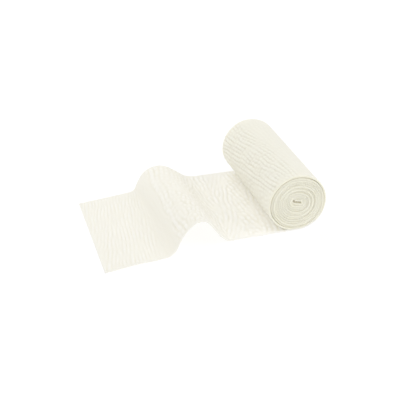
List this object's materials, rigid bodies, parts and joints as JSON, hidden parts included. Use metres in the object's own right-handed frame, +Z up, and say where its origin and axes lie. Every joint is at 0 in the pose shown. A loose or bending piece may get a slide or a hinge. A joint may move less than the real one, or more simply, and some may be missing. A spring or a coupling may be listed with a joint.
{
  "type": "elastic bandage roll",
  "caption": "Cream crepe bandage wound into a roll, with its loose end running out from under it over one low hump to a plain cut end.",
  "frame": {"origin": "on the resting plane, under the roll's axis, at the middle of the strip's width", "axes": "+Z up, -X along the loose end away from the roll, Y along the roll's axis with the far end at +Y"},
  "size_m": [0.1654, 0.1153, 0.0439],
  "materials": {
    "crepe_cloth": "matte crinkled cotton and elastane weave"
  },
  "bodies": {
    "root": {"bandage": "crepe_cloth"}
  },
  "joints": []
}
